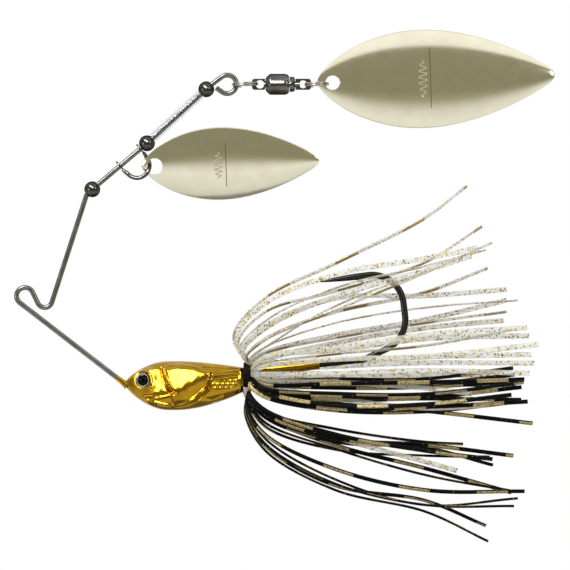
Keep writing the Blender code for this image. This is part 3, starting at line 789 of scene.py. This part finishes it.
def add_tab(bm, hole_x, hole_radius, root_x):
    """A flat plate from a stem's root past a hole for a ring, with its corners rounded."""
    away = math.copysign(1.0, hole_x - root_x)
    root = -abs(hole_x - root_x)
    corners = arc(at(1.1, 0.6), 0.5, 0.0, 90.0, 8)
    corners += [at(root, 1.1), at(root, -1.1)]
    corners += arc(at(1.1, -0.6), 0.5, 270.0, 360.0, 8)
    lengths = [0.0]
    for first, second in zip(corners, corners[1:] + corners[:1]):
        lengths.append(lengths[-1] + (second - first).length)
    rims = []
    count = 48
    for depth in (-TAB_HALF_THICKNESS, TAB_HALF_THICKNESS):
        outer, inner = [], []
        for index in range(count):
            along = lengths[-1] * index / count
            leg = max(number for number in range(len(corners)) if lengths[number] <= along)
            share = (along - lengths[leg]) / (lengths[leg + 1] - lengths[leg])
            place = corners[leg].lerp(corners[(leg + 1) % len(corners)], share)
            turn = math.atan2(place.z, place.x)
            hole = at(math.cos(turn), math.sin(turn)) * hole_radius
            for rim, spot in ((outer, place), (inner, hole)):
                rim.append(bm.verts.new((hole_x + away * spot.x, depth, CHAIN_HEIGHT + spot.z)))
        rims.append((outer, inner))
    (front_outer, front_inner), (back_outer, back_inner) = rims
    bridge(bm, [front_outer, front_inner, back_inner, back_outer], closed=True)


def build_swivel():
    """A barrel with a fixed front eye, and a rear eye that turns in it on six balls."""
    axis = at(0.0, CHAIN_HEIGHT)
    shell = rounded_profile([
        (0.8, 52.8), (1.72, 52.8), (2.02, 52.35), (2.1, 51.9), (2.1, 48.95), (1.25, 48.1),
        (0.78, 48.1), (0.78, 48.9),
    ], 0.22)
    mesh = turned_mesh("swivel_barrel_fine", shell, axis, X_AXIS, steps=96, smooth_angle=40.0)
    add_piece(mesh, NICKEL, "swivel_barrel", ["swivel_barrel"])
    front_stem = [(0.0, 49.5), (1.3, 49.5), (1.3, 49.0), (0.66, 49.0), (0.66, 47.75), (0.0, 47.75)]
    rear_stem = [(0.0, 55.0), (0.62, 55.0), (0.62, 51.08), (1.55, 51.08), (1.55, 50.6), (0.0, 50.6)]
    for end, stem, tab, body in (
        ("front", front_stem, (47.0, 0.85, 48.0), "swivel_barrel"),
        ("rear", rear_stem, (55.6, 0.8, 54.1), "rear_eye"),
    ):
        bm = bmesh.new()
        turned(bm, stem, axis, X_AXIS)
        add_tab(bm, *tab)
        mesh = mesh_from(f"{end}_stem_fine", bm)
        add_piece(mesh, NICKEL, body, [f"{end}_eye_stem"])
    bush = [(0.74, 54.0), (1.05, 54.0), (1.25, 53.95), (1.44, 53.75), (1.5, 53.5), (1.5, 52.98),
            (1.44, 52.9), (0.74, 52.9)]
    mesh = turned_mesh("end_bush_fine", bush, axis, X_AXIS, closed=True)
    add_piece(mesh, NICKEL, "rear_eye", ["swivel_end_bush"])
    for index in range(6):
        node = f"bearing_ball_{index + 1}"
        bm = bmesh.new()
        bmesh.ops.create_uvsphere(bm, u_segments=24, v_segments=16, radius=BALL_RADIUS)
        bmesh.ops.translate(bm, vec=node_centre(node), verts=bm.verts)
        add_piece(mesh_from(f"{node}_fine", bm), NICKEL, "rear_eye", [node])


# ---- head ----
HEAD_REAR = 43.6
HEAD_WIDTH = 0.78
FISH_EYE = at(23.7, -16.74)
EYE_TURN = math.radians(14.0)
SCALE_LENGTH = 1.05
SCALE_HEIGHT = 0.8


def head_section(x):
    """Top and bottom of the head at a station: a fish's head, blunt at the gill plate."""
    share = (x - NOSE.x) / (HEAD_REAR - NOSE.x)
    rise = min(1.0, share / 0.38)
    back = max(0.0, (share - 0.45) / 0.55)
    swell = math.sin(rise * math.pi / 2.0)
    top = -17.6 + 4.6 * swell ** 0.68 - 1.3 * back ** 1.6
    bottom = -17.6 - 5.25 * swell ** 0.74 + 3.6 * back ** 1.7
    return top, bottom


# The modelled lines of the head, as (X, Z) places on its side, with a width and a height.
HEAD_RIDGES = [
    ([(27.3, -14.3), (27.5, -15.9), (28.4, -18.0), (29.6, -19.5)], 0.2, -0.3),
    ([(27.8, -14.5), (28.1, -15.9), (29.2, -17.6), (30.3, -19.3)], 0.2, 0.28),
    ([(27.8, -14.5), (29.0, -13.9), (30.7, -13.7), (33.3, -14.0), (35.4, -14.6), (37.1, -15.4)],
     0.22, 0.22),
    ([(37.1, -15.4), (36.8, -16.9), (36.3, -18.4), (34.1, -20.2), (32.0, -21.4), (29.9, -21.7),
      (27.7, -21.4), (24.3, -20.5)], 0.22, 0.42),
    ([(36.9, -18.6), (34.6, -20.9), (32.3, -22.0), (29.8, -22.3), (26.6, -21.7)], 0.16, -0.25),
    ([(24.3, -20.5), (26.6, -20.3), (29.2, -19.7)], 0.22, 0.34),
    ([(24.0, -19.9), (26.6, -19.7), (28.8, -19.2)], 0.2, -0.2),
    ([(21.4, -18.4), (22.4, -19.6), (23.0, -20.2)], 0.18, -0.2),
    ([(37.8, -16.2), (40.2, -15.8), (42.8, -15.5)], 0.22, -0.35),
    ([(37.6, -15.7), (40.2, -15.2), (42.8, -14.9)], 0.22, 0.2),
    ([(35.6, -20.9), (37.6, -21.0), (39.6, -20.2)], 0.3, 0.2),
    ([(43.1, -14.4), (43.1, -19.2)], 0.2, 0.12),
]
CHEEK = [(24.6, -14.4), (27.2, -14.4), (27.4, -16.0), (28.2, -18.0), (28.9, -19.3), (25.6, -19.5),
         (24.9, -18.2)]
GILL_PLATE = [
    (28.2, -14.6), (30.7, -13.9), (33.3, -14.2), (36.9, -15.5), (36.5, -16.9), (36.0, -18.3),
    (33.9, -20.0), (31.9, -21.1), (29.9, -21.4), (29.4, -19.7), (30.2, -19.2), (29.0, -17.4),
]


def distance_to_line(x, z, line):
    """Distance from a place to a polyline, for arrays of places."""
    best = np.full_like(x, 1e9)
    for (ax, az), (bx, bz) in zip(line, line[1:]):
        dx, dz = bx - ax, bz - az
        t = np.clip(((x - ax) * dx + (z - az) * dz) / (dx * dx + dz * dz), 0.0, 1.0)
        best = np.minimum(best, np.hypot(x - ax - t * dx, z - az - t * dz))
    return best


def inside_outline(x, z, outline):
    inside = np.zeros_like(x, dtype=bool)
    for (ax, az), (bx, bz) in zip(outline, outline[1:] + outline[:1]):
        crosses = (az > z) != (bz > z)
        with np.errstate(divide="ignore", invalid="ignore"):
            edge = (bx - ax) * (z - az) / (bz - az + 1e-12) + ax
        inside ^= crosses & (x < edge)
    return inside


def flattened(x, z, side):
    """The head's half thickness with a flat cheek and a creased gill plate standing out of it."""
    crease_width = 0.4
    edge_width = 0.12
    cheek = 3.55 - 0.23 * (z + 17.5) + 0.1 * (x - 26.3)
    above_crease = z + 19.3 - 0.53 * (x - 30.3)
    gill = 3.85 - 0.27 * (z + 16.0) - 0.05 * (x - 31.0) - 0.4 * np.maximum(0.0, z + 14.5)
    gill -= 0.7 * crease_width * np.log1p(np.exp(-above_crease / crease_width))
    hammered = 0.02 * np.sin(2.6 * x + 1.3 * z) * np.sin(1.9 * z - 0.8 * x)
    for outline, plate in ((CHEEK, cheek + hammered), (GILL_PLATE, gill + hammered)):
        from_edge = distance_to_line(x, z, outline + outline[:1])
        signed = np.where(inside_outline(x, z, outline), from_edge, -from_edge)
        share = 1.0 / (1.0 + np.exp(-signed / edge_width))
        side = side * (1.0 - share) + plate * share
    return side


def head_relief(x, z):
    """Height of the modelled detail on the side of the head, in millimetres."""
    height = np.zeros_like(x)
    for line, width, rise in HEAD_RIDGES:
        height += rise * np.exp(-(distance_to_line(x, z, line) / width) ** 2)
    from_eye = np.hypot(x - FISH_EYE.x, z - FISH_EYE.z)
    height += 0.25 * np.exp(-((from_eye - 1.72) / 0.24) ** 2)
    level = (z + 30.0) / SCALE_HEIGHT
    scale_x = np.mod(x / SCALE_LENGTH + 0.5 * np.mod(np.floor(level), 2.0), 1.0) - 0.5
    scale_z = np.mod(level, 1.0) - 0.5
    bump = np.sqrt(np.clip(1.0 - (scale_x / 0.48) ** 2 - (scale_z / 0.5) ** 2, 0.0, 1.0))
    band = (x > 37.6) & (x < 42.8) & (np.abs(z + 17.6 - 0.12 * (x - 40.0)) < 0.85)
    return height + 0.16 * bump * band


def build_head():
    """The casting: the fish's head, the neck under the skirt, and the keeper on the shank."""
    columns, rows = 260, 280
    share = np.linspace(0.0, 1.0, columns + 1)
    stations = NOSE.x + (HEAD_REAR - NOSE.x) * (0.5 * share ** 1.9 + 0.5 * share)
    top, bottom = np.array([head_section(station) for station in stations]).T[..., None]
    half = 0.5 * (top - bottom)
    middle = 0.5 * (top + bottom)
    around = 2.0 * math.pi * np.arange(rows) / rows
    x = np.repeat(stations[:, None], rows, axis=1)
    y = half * HEAD_WIDTH * np.sin(around)
    z = middle + half * np.cos(around)
    outward = np.stack([np.zeros_like(y), y / HEAD_WIDTH ** 2, z - middle], axis=-1)
    outward /= np.maximum(1e-6, np.linalg.norm(outward, axis=-1))[..., None]
    facing = np.clip(1.6 * np.abs(y) / (np.maximum(0.5, half) * HEAD_WIDTH), 0.0, 1.0)
    places = np.stack([x, np.sign(y) * flattened(x, z, np.abs(y)), z], axis=-1)
    places = places + outward * (head_relief(x, z) * facing)[..., None]
    socket = np.hypot(x - FISH_EYE.x, z - FISH_EYE.z) < 1.5
    floor = 2.1 + (FISH_EYE.x - x) * -math.tan(EYE_TURN)
    places[..., 1] = np.where(socket & (np.abs(places[..., 1]) > floor),
                              np.sign(y) * floor, places[..., 1])

    bm = bmesh.new()
    rings = [[bm.verts.new(place) for place in column] for column in places]
    rear = at(HEAD_REAR, 0.5 * sum(head_section(HEAD_REAR)))
    for scale in (0.985, 0.96, 0.5):
        inset = [rear + (Vector(place) - rear) * scale for place in places[-1]]
        shift = X_AXIS * (0.12 if scale < 0.97 else 0.07)
        rings.append([bm.verts.new(place + shift) for place in inset])
    bridge(bm, rings)
    bm.faces.new(rings[-1])
    bmesh.ops.remove_doubles(bm, verts=bm.verts, dist=1e-5)

    turned(bm, [(0.0, 1.5), (1.5, 1.5), (1.5, -1.0), (0.0, -1.0)],
           at(HEAD_REAR + 1.2, -15.75), X_AXIS)
    shank = at(1.0, SHANK_SLOPE).normalized()
    turned(bm, [(0.68, -6.3), (1.45, -6.2), (1.0, 6.2), (0.68, 6.3)], shank_point(52.7), shank)
    barb_axis = Matrix.Rotation(math.radians(14.0), 3, "Y") @ shank
    turned(bm, [(0.0, -2.3), (0.35, -2.3), (0.95, 2.2), (0.7, 2.35), (0.0, 2.3)],
           shank_point(53.4) + Z_AXIS * 0.75, barb_axis)
    add_piece(mesh_from("head_fine", bm, 55.0), GOLD, "frame", ["head_casting"])


def build_fish_eyes():
    """A printed foil disc under a clear dome, on each side of the head."""
    foil = [(0.0, 0.16), (1.3, 0.16), (1.35, 0.1), (1.35, -0.1), (0.0, -0.1)]
    dome = [(0.0, 0.62)]
    for index in range(1, 22):
        angle = math.radians(4.0 * index)
        dome.append((1.34 * math.sin(angle), 0.1 + 0.52 * math.cos(angle)))
    dome += [(1.35, 0.1), (1.35, 0.0), (0.0, 0.0)]
    for side, word in ((-1.0, "left"), (1.0, "right")):
        normal = Vector((-math.sin(EYE_TURN), side * math.cos(EYE_TURN), 0.0))
        floor = FISH_EYE + Y_AXIS * side * 2.05
        print_finish = eye_foil_finish(f"{word}_eye_print", FISH_EYE, pupil=1.08, ring=1.3)
        for part, profile, lift, finish in (("foil", foil, 0.24, print_finish),
                                            ("lens", dome, 0.46, LENS_RESIN)):
            node = f"{word}_eye_{part}"
            mesh = turned_mesh(f"{node}_fine", profile, floor + normal * lift, normal)
            add_piece(mesh, finish, "frame", [node])


COLLAR = node_centre("skirt_collar")


def build_collar():
    band = rounded_profile([(1.9, -0.7), (2.5, -0.7), (2.55, 0.0), (2.5, 0.7), (1.9, 0.7)], 0.25)
    mesh = turned_mesh("skirt_collar_fine", band, COLLAR, X_AXIS, steps=96, closed=True)
    add_piece(mesh, RUBBER, "frame", ["skirt_collar"])


# ---- skirt ----
STATIONS = (48.0, 62.0, 80.0)
# One line per strand: its height at the three stations above, its tip's X and Z, how far the
# tip stands to the far side (+) or near side (-), and how flat it lies to the side view (0-1).
CLEAR_STRANDS = [
    (-0.4, 6.5, 15.6, 88.5, 22.1, 2.5, 0.1),
    (-3.2, 0.9, 6.7, 91.6, 14.0, 3.5, 0.2),
    (-6.5, -0.5, 0.0, 96.8, 1.3, 6.5, 0.8),
    (-8.6, -3.3, 0.6, 93.0, 5.6, 8.0, 0.1),
    (-10.3, -5.5, -2.4, 99.0, -0.9, 7.0, 0.15),
    (-11.5, -8.0, -4.9, 96.9, -0.9, 9.0, 0.9),
    (-11.5, -8.5, -5.5, 96.7, -3.2, 6.0, 0.2),
    (-14.9, -14.2, -13.5, 102.3, -13.6, 6.0, 1.0),
    (-13.0, -9.6, -6.6, 96.5, -5.0, 11.0, 0.8),
    (-14.3, -13.5, -12.4, 102.0, -11.9, 9.0, 1.0),
    (-16.2, -16.5, -16.1, 95.1, -16.2, 11.5, 0.9),
    (-23.1, -28.3, -33.3, 86.7, -35.2, 4.0, 0.9),
    (-17.7, -20.3, -22.2, 91.8, -21.6, -6.0, 0.8),
    (-16.8, -17.1, -18.2, 89.0, -19.3, -8.0, 0.8),
    (-15.5, -15.3, -14.7, 100.2, -15.2, -9.5, 1.0),
    (-12.1, -10.3, -7.6, 99.7, -6.2, -10.0, 1.0),
    (-13.9, -12.5, -11.9, 102.0, -9.5, -9.0, 1.0),
    (-13.4, -11.5, -9.8, 98.2, -6.5, -5.0, 0.1),
    (-12.1, -10.7, -8.4, 100.2, -7.8, -8.5, 0.9),
    (-10.3, -2.0, 4.2, 84.0, 6.3, -3.5, 0.15),
    (-8.8, -2.8, 4.7, 93.1, 10.6, -5.0, 0.2),
    (-6.0, -0.1, 5.1, 89.0, 8.0, -6.0, 0.9),
    (-5.0, 1.6, 6.0, 92.0, 9.2, -2.5, 0.25),
    (-1.5, 4.3, 7.5, 90.5, 9.6, -3.0, 0.85),
]
BLACK_STRANDS = [
    (-17.0, -16.8, -16.8, 98.2, -14.6, 8.0, 0.7),
    (-17.3, -17.9, -18.0, 99.0, -18.2, 11.5, 0.8),
    (-17.8, -18.6, -18.5, 99.0, -17.3, 9.5, 0.4),
    (-19.5, -21.0, -20.8, 99.9, -21.1, 9.0, 0.5),
    (-20.4, -23.1, -23.4, 99.5, -21.4, 7.0, 0.2),
    (-19.9, -21.8, -23.3, 102.3, -25.9, 10.0, 0.5),
    (-23.2, -26.8, -29.5, 88.0, -30.0, 7.5, 0.4),
    (-24.4, -29.3, -30.5, 93.9, -34.1, 5.0, 0.3),
    (-26.3, -31.0, -32.3, 93.4, -32.6, 8.0, 0.3),
    (-24.1, -30.0, -34.7, 97.7, -39.7, 6.0, 0.35),
    (-28.6, -36.8, -42.0, 98.8, -40.7, 3.5, 0.0),
    (-30.0, -38.0, -41.0, 92.3, -46.1, 2.0, 0.05),
    (-30.8, -38.7, -43.0, 92.5, -48.9, -2.0, 0.0),
    (-29.4, -37.4, -41.6, 97.6, -41.8, -3.0, 0.05),
    (-27.5, -34.4, -38.5, 99.5, -38.7, -5.5, 0.3),
    (-25.2, -30.4, -35.6, 98.2, -38.9, -4.0, 0.3),
    (-23.3, -28.2, -29.5, 97.2, -31.6, -6.5, 0.5),
    (-22.6, -27.4, -30.6, 93.0, -32.2, -8.0, 0.4),
    (-20.0, -22.3, -21.9, 99.9, -20.8, -8.5, 0.7),
    (-19.0, -21.6, -21.3, 96.6, -19.4, -10.0, 0.85),
    (-18.8, -19.8, -20.0, 98.8, -18.0, -7.0, 0.8),
    (-18.3, -19.2, -19.2, 98.9, -16.9, -11.5, 0.5),
    (-17.6, -17.3, -17.0, 99.2, -16.4, -9.0, 0.75),
    (-17.2, -17.2, -17.3, 97.5, -15.6, -6.0, 0.5),
]


def smooth_path(points, step):
    """Points along an even curve through the given ones (centripetal Catmull-Rom)."""
    ends = [2.0 * points[0] - points[1]] + points + [2.0 * points[-1] - points[-2]]
    path = []
    for near in zip(ends, ends[1:], ends[2:], ends[3:]):
        knots = [0.0]
        for first, second in zip(near, near[1:]):
            knots.append(knots[-1] + math.sqrt((second - first).length))
        count = max(2, math.ceil((near[2] - near[1]).length / step))
        for index in range(count):
            t = knots[1] + (knots[2] - knots[1]) * index / count
            level = near
            for span in (1, 2):
                level = [
                    first.lerp(second, (t - low) / (high - low))
                    for first, second, low, high in zip(level, level[1:], knots, knots[span:])
                ]
            path.append(level[0].lerp(level[1], index / count))
    return path + [points[-1]]


def strand_path(strand, bulge):
    """From under the collar, out over its rear edge, then through the stations to the tip."""
    *heights, tip_x, tip_z, depth, _ = strand
    rise = heights[0] - COLLAR.z
    tilt = math.atan2(depth * 0.7, rise)
    around = Vector((0.0, math.sin(tilt), math.cos(tilt)))
    places = [COLLAR + around * 1.74 - X_AXIS * 0.3, COLLAR + around * 1.76 + X_AXIS * 0.75]
    steep = max(0.0, abs(rise) - 4.0)
    if steep > 0.0:
        middle = at(COLLAR.x + 0.7 - bulge * steep, COLLAR.z + 0.5 * rise)
        middle.y = 0.34 * depth
        places.append(middle)
    spread = {48.0: 0.5, 62.0: 0.72, 80.0: 0.9}
    for x, z in zip(STATIONS, heights):
        if x < tip_x - 4.0:
            places.append(Vector((x, depth * spread[x], z)))
    places.append(Vector((tip_x, depth, tip_z)))
    return smooth_path(places, 0.7)


# How much of a unit the share round a strand's section takes up in its UVs.
UV_SPAN = 0.96


def add_strand(bm, uv_layer, path, width, thickness, twists, kind, offset):
    """A ribbon; its UVs are millimetres along it, and kind plus the share round its section."""
    sides = 12
    section = []
    for corner in range(sides):
        angle = 2.0 * math.pi * corner / sides
        a, b = math.cos(angle), math.sin(angle)
        section.append((0.5 * width * math.copysign(abs(a) ** 0.5, a),
                        0.5 * thickness * math.copysign(abs(b) ** 0.5, b)))
    rings = []
    lengths = [offset]
    steps = zip(path, path[1:] + path[-1:], directions(path), twists)
    for point, following, tangent, twist in steps:
        flat = tangent.cross(Y_AXIS).normalized()
        deep = tangent.cross(flat)
        wide = flat * math.cos(twist) + deep * math.sin(twist)
        thin = deep * math.cos(twist) - flat * math.sin(twist)
        rings.append([bm.verts.new(point + wide * a + thin * b) for a, b in section])
        lengths.append(lengths[-1] + (following - point).length)
    for station in range(len(path) - 1):
        for corner in range(sides):
            places = ((station, corner), (station, corner + 1),
                      (station + 1, corner + 1), (station + 1, corner))
            face = bm.faces.new([rings[along][around % sides] for along, around in places])
            for loop, (along, around) in zip(face.loops, places):
                loop[uv_layer].uv = (lengths[along], kind + UV_SPAN * around / sides)
    bm.faces.new(rings[0])
    bm.faces.new(list(reversed(rings[-1])))


def skirt_shared(finish):
    """Split a strand's UVs: distance along it, its kind, and how flat the surface is."""
    uv = finish.add("TexCoord").outputs["UV"]
    split = finish.add("SeparateXYZ", {"Vector": uv})
    kind = finish.maths("FLOOR", split.outputs["Y"])
    share = finish.maths("FRACT", split.outputs["Y"])
    turn = finish.times(share, 2.0 * math.pi / UV_SPAN)
    flatness = finish.maths("ABSOLUTE", finish.maths("SINE", turn))
    one_side = finish.maths("GREATER_THAN", finish.maths("SINE", turn), 0.2)
    return split.outputs["X"], kind, finish.ranged(flatness, 0.0, 1.0, 0.35, 0.75), one_side


def printed_bars(finish, along, period, share):
    """1 on a printed bar and 0 between bars, with ragged ends."""
    ragged = finish.ranged(finish.noise(2.0), -0.35, 0.35)
    shifted = finish.maths("ADD", along, ragged)
    phase = finish.maths("FRACT", finish.maths("DIVIDE", shifted, period))
    return finish.maths("LESS_THAN", phase, share)


def flecks(finish, scale, size, rarity):
    """Metal flake: 1 inside a fleck; also each fleck's own random value."""
    cells = finish.add("TexVoronoi", {0: finish.scaled(scale)}, Scale=1.0)
    split = finish.add("SeparateColor", {"Color": cells.outputs["Color"]})
    near = finish.maths("LESS_THAN", cells.outputs["Distance"], size)
    chosen = finish.maths("GREATER_THAN", split.outputs["Red"], rarity)
    return finish.times(near, chosen), split.outputs["Green"]


def clear_silicone():
    finish = Finish("skirt_clear_silicone", Roughness=0.3)
    along, kind, flatness, one_side = skirt_shared(finish)
    # Painted shade: each strand is coloured darker towards its thin edges and lighter on its broad
    # faces. This stands in for the dark rims that light bending at a clear strand's edges gives.
    body = finish.blended(flatness, (0.46, 0.47, 0.45), (0.77, 0.8, 0.76))
    fleck, tint = flecks(finish, 2.1, size=0.4, rarity=0.45)
    gold = finish.blended(tint, (0.2, 0.11, 0.015), (0.85, 0.56, 0.05))
    body = finish.blended(fleck, body, gold)
    printed = printed_bars(finish, along, period=15.0, share=0.34)
    bars = finish.times(finish.times(printed, kind), one_side)
    brown = finish.blended(finish.noise(6.0), (0.22, 0.14, 0.05), (0.5, 0.36, 0.16))
    finish.set("Base Color", finish.blended(bars, body, brown))
    solid = finish.maths("MAXIMUM", bars, fleck)
    finish.set("Alpha", finish.ranged(solid, 0.45, 1.0))
    finish.set("Metallic", finish.times(solid, 0.5))
    finish.bump(finish.noise(1.2), 0.3, 0.03)
    return finish.material


def black_silicone():
    finish = Finish("skirt_black_silicone", Specular_IOR_Level=0.06)
    along, _, flatness, _ = skirt_shared(finish)
    grain = finish.ranged(finish.noise(7.0, detail=2.0), 0.0, 1.0, 0.4, 0.52)
    bars = printed_bars(finish, along, period=15.5, share=0.4)
    bars = finish.times(bars, flatness)
    printed = finish.times(bars, grain)
    gold = finish.blended(finish.noise(3.0), (0.45, 0.32, 0.11), (0.95, 0.8, 0.46))
    fleck, _ = flecks(finish, 2.0, size=0.2, rarity=0.8)
    body = finish.blended(fleck, (0.004, 0.004, 0.004), (0.3, 0.22, 0.08))
    finish.set("Base Color", finish.blended(printed, body, gold))
    finish.set("Metallic", finish.times(printed, 0.7))
    finish.set("Roughness", finish.ranged(grain, 0.34, 0.46))
    finish.bump(finish.noise(1.2), 0.3, 0.03)
    return finish.material


def build_skirt():
    """Far strands from the top down, then near ones from the bottom up, three to a CAD strand."""
    shuffle = random.Random(7)
    for colour, strands, finish, bulge, width, thickness in (
        ("clear", CLEAR_STRANDS, clear_silicone(), 0.3, 1.05, 0.4),
        ("black", BLACK_STRANDS, black_silicone(), 0.1, 0.85, 0.52),
    ):
        for number in range(8):
            bm = bmesh.new()
            uv_layer = bm.loops.layers.uv.new("strand")
            for strand in strands[3 * number:3 * number + 3]:
                path = strand_path(strand, bulge)
                flat = strand[-1]
                start = 0.5 * math.pi * (1.0 - flat) + shuffle.uniform(-0.15, 0.15)
                drift = shuffle.uniform(-0.5, 0.5)
                count = len(path)
                twists = [start + drift * math.sin(2.5 * index / count) for index in range(count)]
                kind = 1 if flat < 0.5 else 0
                offset = shuffle.uniform(0.0, 40.0)
                add_strand(bm, uv_layer, path, width, thickness, twists, kind, offset)
            node = f"skirt_{colour}_{number + 1:02d}"
            mesh = mesh_from(f"{node}_fine", bm, 50.0)
            add_piece(mesh, finish, "frame", [node])


build_wire()
build_hook()
build_beads_and_sleeve()
build_clevis()
build_blades()
build_rings()
build_swivel()
build_head()
build_fish_eyes()
build_collar()
build_skirt()

# The main light would burn out the blades, so it reaches all the other pieces and not them.
PLAIN_PIECES = [piece.name for piece in bpy.context.scene.objects
                if piece.name.endswith("_fine") and "blade" not in piece.name]
make_light("key", (-0.25, -0.45, 0.5), size=0.36, power=3.6, receivers=PLAIN_PIECES)
make_light("head_card", (0.018, -0.22, 0.1), size=0.11, power=0.6, receivers=["head_fine"])
HARDWARE = [f"{name}_fine" for name in (
    "lower_bead", "middle_bead", "upper_bead", "clevis", "swivel_barrel", "front_stem",
    "rear_stem", "end_bush",
)]
make_light("hardware_card", (0.03, -0.19, 0.12), size=0.09, power=0.35, receivers=HARDWARE)
